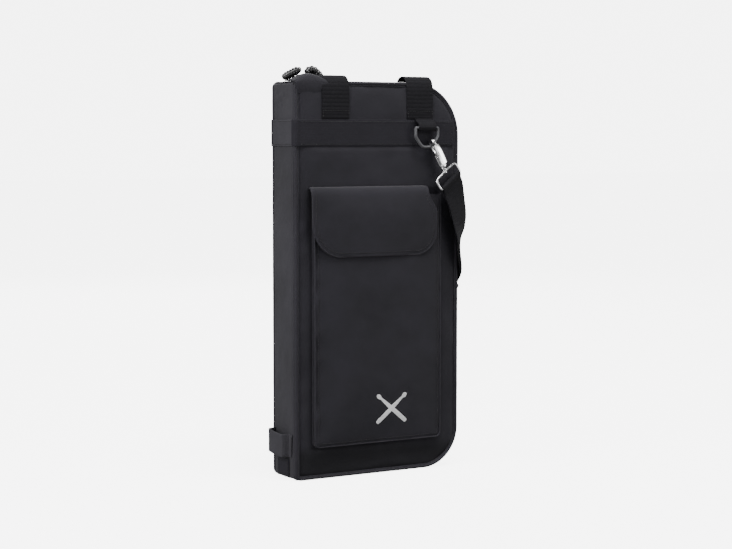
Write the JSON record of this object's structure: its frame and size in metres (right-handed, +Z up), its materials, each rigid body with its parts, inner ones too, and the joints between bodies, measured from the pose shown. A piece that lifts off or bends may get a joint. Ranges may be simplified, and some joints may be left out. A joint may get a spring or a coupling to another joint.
{
  "type": "drum stick bag",
  "caption": "Upright zipped fabric case that opens like a book, with stick sleeves, a flapped front pocket and a clip-on shoulder strap.",
  "frame": {"origin": "on the surface the bag stands on, under the middle of the bag's footprint", "axes": "+Z up the bag, +X from the spine towards the zipped free edge, the pocket faces -Y"},
  "size_m": [0.2582, 0.1009, 0.4971],
  "materials": {
    "front_fabric": "matt woven polyester, black",
    "spine_fabric": "matt woven polyester, dark grey",
    "webbing": "ribbed black webbing",
    "lining": "thin woven lining",
    "board": "foam-faced stiffening board",
    "piping": "satin black piping",
    "zip_tape": "woven zip tape",
    "zip_teeth": "black moulded coil",
    "slider_metal": "black-plated metal",
    "pull_rubber": "ridged black rubber",
    "black_plastic": "satin moulded plastic",
    "nickel": "polished nickel plate",
    "print": "white screen print",
    "hook_tape": "hook-and-loop tape"
  },
  "bodies": {
    "back_shell": {"back_panel": "front_fabric", "back_gusset": "front_fabric", "back_piping": "piping", "back_stiffener": "board", "back_lining": "lining", "back_stick_sleeves": "lining", "back_zip_tape": "zip_tape", "back_zip_teeth": "zip_teeth", "back_band": "webbing", "lower_d_ring_tab": "webbing", "lower_d_ring": "black_plastic", "lower_snap_hook": "nickel", "lower_strap_ring": "nickel", "strap_lower": "webbing"},
    "spine": {"spine_panel": "spine_fabric", "spine_stiffener": "board", "spine_band": "webbing", "spine_lower_tab": "webbing", "spine_webbing_loop": "webbing", "strap_adjuster": "black_plastic"},
    "front_shell": {"front_panel": "front_fabric", "front_gusset": "front_fabric", "front_piping": "piping", "front_stiffener": "board", "front_lining": "lining", "front_stick_sleeves": "lining", "front_zip_tape": "zip_tape", "front_zip_teeth": "zip_teeth", "front_band": "webbing", "front_left_hanging_loop": "webbing", "front_right_hanging_loop": "webbing", "pocket_gusset": "front_fabric", "pocket_panel": "front_fabric", "pocket_hook_tape": "hook_tape", "pocket_print": "print", "zip_end_cover": "front_fabric", "upper_d_ring_tab": "webbing", "strap_end_loop": "webbing", "strap_upper": "webbing"},
    "flap": {"pocket_flap": "front_fabric", "flap_loop_tape": "hook_tape"},
    "upper_ring": {"upper_d_ring": "black_plastic", "upper_strap_ring": "nickel"},
    "upper_hook": {"upper_snap_hook": "nickel"},
    "upper_gate": {"upper_hook_gate": "nickel"},
    "lower_gate": {"lower_hook_gate": "nickel"},
    "left_slider": {"left_zip_slider": "slider_metal"},
    "left_pull": {"left_zip_pull": "pull_rubber"},
    "right_slider": {"right_zip_slider": "slider_metal"},
    "right_pull": {"right_zip_pull": "pull_rubber"}
  },
  "joints": [
    {"name": "spine_hinge", "type": "hinge", "parent": "back_shell", "child": "spine", "pos_m": [-0.11, 0.0312, 0.24], "axis": [0, 0, -1], "range_deg": [0, 90], "deforming": ["strap_lower", "strap_upper", "strap_end_loop"]},
    {"name": "cover_hinge", "type": "hinge", "parent": "spine", "child": "front_shell", "pos_m": [-0.11, -0.0288, 0.24], "axis": [0, 0, -1], "range_deg": [0, 90]},
    {"name": "pocket_flap_hinge", "type": "hinge", "parent": "front_shell", "child": "flap", "pos_m": [0.006, -0.0286, 0.354], "axis": [-1, 0, 0], "range_deg": [0, 90]},
    {"name": "upper_d_ring_swing", "type": "hinge", "parent": "front_shell", "child": "upper_ring", "pos_m": [0.069, -0.0378, 0.424], "axis": [-1, 0, 0], "range_deg": [0, 40]},
    {"name": "upper_hook_swivel", "type": "hinge", "parent": "upper_ring", "child": "upper_hook", "pos_m": [0.078, -0.0378, 0.4036], "axis": [0.4203, -0.1101, -0.9007], "range_deg": [-12, 12]},
    {"name": "upper_gate_hinge", "type": "hinge", "parent": "upper_hook", "child": "upper_gate", "pos_m": [0.08464, -0.04598, 0.38938], "axis": [-0.9062, 0, -0.4229], "range_deg": [0, 12], "stiffness_Nm_per_rad": 0.02, "springref_deg": -8.59},
    {"name": "lower_gate_hinge", "type": "hinge", "parent": "back_shell", "child": "lower_gate", "pos_m": [-0.05423, 0.0466, 0.05965], "axis": [-0.5101, 0, 0.8601], "range_deg": [0, 12], "stiffness_Nm_per_rad": 0.02, "springref_deg": -8.59},
    {"name": "left_slider_slide", "type": "slide", "parent": "back_shell", "child": "left_slider", "axis": [1, 0, 0], "range_m": [0, 0.0025]},
    {"name": "right_slider_slide", "type": "slide", "parent": "back_shell", "child": "right_slider", "axis": [1, 0, 0], "range_m": [0, 0.11]},
    {"name": "left_pull_hinge", "type": "hinge", "parent": "left_slider", "child": "left_pull", "pos_m": [-0.0925, 0.0012, 0.4827], "axis": [0, 1, 0], "range_deg": [0, 25]},
    {"name": "right_pull_hinge", "type": "hinge", "parent": "right_slider", "child": "right_pull", "pos_m": [-0.0655, 0.0012, 0.4827], "axis": [0, -1, 0], "range_deg": [0, 25]}
  ],
  "couplings": [
    {"joint": "cover_hinge", "follows": "spine_hinge", "ratio": 1}
  ]
}
